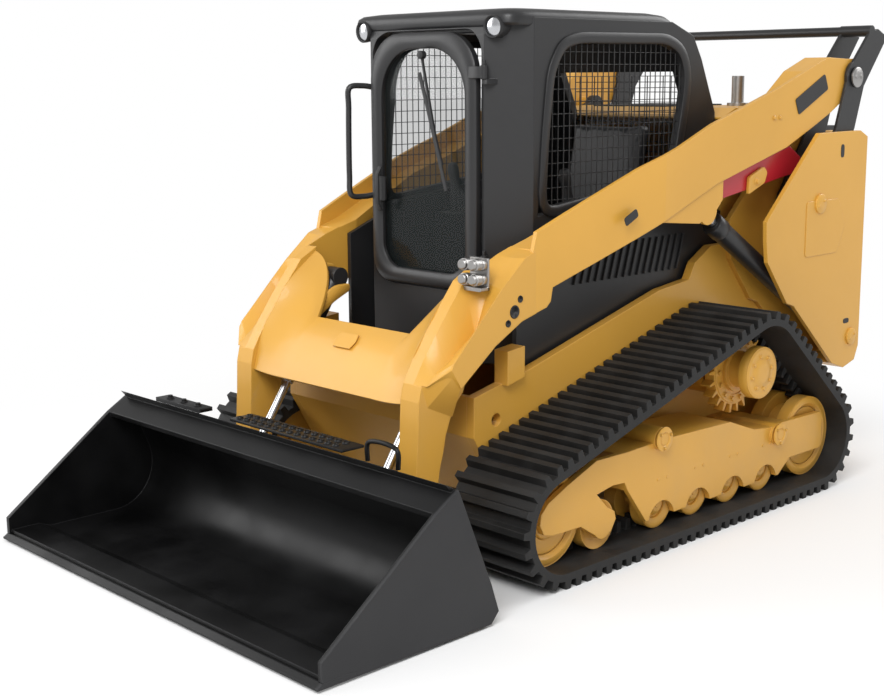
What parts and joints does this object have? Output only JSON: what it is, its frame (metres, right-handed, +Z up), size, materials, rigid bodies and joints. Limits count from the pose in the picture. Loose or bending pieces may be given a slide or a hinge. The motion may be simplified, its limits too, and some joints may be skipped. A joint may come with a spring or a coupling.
{
  "type": "compact track loader",
  "caption": "Compact track loader: rubber tracks, closed cab, vertical-lift arms that raise a bucket on a quick coupler, and doors that swing.",
  "frame": {"origin": "centre of the machine's footprint on the ground", "axes": "+X to the machine's left, +Y to its rear, +Z up"},
  "size_m": [2.036, 3.71, 2.107],
  "materials": {
    "yellow_paint": "gloss",
    "black_paint": "satin",
    "bucket_paint": "satin",
    "track_rubber": "matt",
    "chrome_rod": "polished",
    "bare_steel": "satin",
    "clear_pane": "clear",
    "seat_vinyl": "satin",
    "dark_plastic": "matt",
    "red_paint": "gloss"
  },
  "bodies": {
    "chassis": {"side_frame_left": "yellow_paint", "side_frame_right": "yellow_paint", "tower_left": "yellow_paint", "tower_right": "yellow_paint", "undercarriage_frame_left": "yellow_paint", "undercarriage_frame_right": "yellow_paint", "track_left": "track_rubber", "track_right": "track_rubber", "drive_sprocket_left": "yellow_paint", "drive_sprocket_right": "yellow_paint", "travel_motor_left": "yellow_paint", "travel_motor_right": "yellow_paint", "front_idler_left": "yellow_paint", "front_idler_right": "yellow_paint", "rear_idler_left": "yellow_paint", "rear_idler_right": "yellow_paint", "track_rollers_left": "yellow_paint", "track_rollers_right": "yellow_paint", "side_panel_left": "black_paint", "side_panel_right": "black_paint", "side_guard_left": "black_paint", "side_guard_right": "black_paint", "main_frame": "yellow_paint", "cab_frame": "black_paint", "cab_roof": "black_paint", "rear_window": "clear_pane", "seat_platform": "dark_plastic", "seat_cushion": "seat_vinyl", "seat_backrest": "seat_vinyl", "engine_block": "black_paint", "engine_hood": "yellow_paint", "exhaust_stack": "bare_steel"},
    "rear_links": {"rear_link_left": "black_paint", "rear_link_right": "black_paint", "link_cross_tube": "black_paint"},
    "lift_arms": {"lift_arm_left": "yellow_paint", "lift_arm_right": "yellow_paint", "bucket_pin_left": "bare_steel", "bucket_pin_right": "bare_steel", "arm_cross_plate": "yellow_paint", "arm_brace": "red_paint"},
    "front_links": {"front_link_left": "black_paint", "front_link_right": "black_paint"},
    "lift_barrels": {"lift_barrel_left": "black_paint", "lift_barrel_right": "black_paint"},
    "lift_rods": {"lift_rod_left": "chrome_rod", "lift_rod_right": "chrome_rod"},
    "bucket_tool": {"quick_coupler": "black_paint", "bucket": "bucket_paint", "cutting_edge": "bucket_paint"},
    "tilt_barrels": {"tilt_barrel_left": "black_paint", "tilt_barrel_right": "black_paint", "tilt_sleeve_left": "chrome_rod", "tilt_sleeve_right": "chrome_rod"},
    "tilt_rods": {"tilt_rod_left": "chrome_rod", "tilt_rod_right": "chrome_rod"},
    "front_door": {"cab_door": "black_paint", "door_glass": "clear_pane"},
    "engine_door": {"rear_door": "black_paint"}
  },
  "joints": [
    {"name": "rear_link_swing", "type": "hinge", "parent": "chassis", "child": "rear_links", "pos_m": [0, 1.28, 1.27], "axis": [1, 0, 0], "range_deg": [0, 30]},
    {"name": "lift", "type": "hinge", "parent": "rear_links", "child": "lift_arms", "pos_m": [0, 1.58, 1.83], "axis": [-1, 0, 0], "range_deg": [0, 87.5]},
    {"name": "front_link_swing", "type": "hinge", "parent": "chassis", "child": "front_links", "pos_m": [0, -0.01, 1.16], "axis": [1, 0, 0], "range_deg": [0, 21]},
    {"name": "lift_barrel_swing", "type": "hinge", "parent": "chassis", "child": "lift_barrels", "pos_m": [0, 1.6, 0.62], "axis": [-1, 0, 0], "range_deg": [0, 22.9]},
    {"name": "lift_rod_slide", "type": "slide", "parent": "lift_barrels", "child": "lift_rods", "axis": [0, -0.854, 0.5202], "range_m": [0, 1.063]},
    {"name": "tilt", "type": "hinge", "parent": "lift_arms", "child": "bucket_tool", "pos_m": [0, -0.98, 0.235], "axis": [1, 0, 0], "range_deg": [-28, 50]},
    {"name": "tilt_barrel_swing", "type": "hinge", "parent": "lift_arms", "child": "tilt_barrels", "pos_m": [0, -0.6, 1.02], "axis": [1, 0, 0], "range_deg": [-2.5, 1.4]},
    {"name": "tilt_rod_slide", "type": "slide", "parent": "tilt_barrels", "child": "tilt_rods", "axis": [0, -0.5506, -0.8348], "range_m": [-0.052, 0.092]},
    {"name": "cab_door_swing", "type": "hinge", "parent": "chassis", "child": "front_door", "pos_m": [0.348, -0.448, 1.5], "axis": [0, 0, 1], "range_deg": [0, 80]},
    {"name": "rear_door_swing", "type": "hinge", "parent": "chassis", "child": "engine_door", "pos_m": [0.54, 1.742, 1.04], "axis": [0, 0, -1], "range_deg": [0, 95]}
  ],
  "couplings": [
    {"joint": "rear_link_swing", "follows": "lift", "ratio": 0.34286},
    {"joint": "front_link_swing", "follows": "lift", "ratio": 0.23921},
    {"joint": "lift_barrel_swing", "follows": "lift", "ratio": 0.26086},
    {"joint": "lift_rod_slide", "follows": "lift", "m_per_rad": 0.69574},
    {"joint": "tilt_barrel_swing", "follows": "tilt", "ratio": -0.05},
    {"joint": "tilt_rod_slide", "follows": "tilt", "m_per_rad": 0.105}
  ]
}
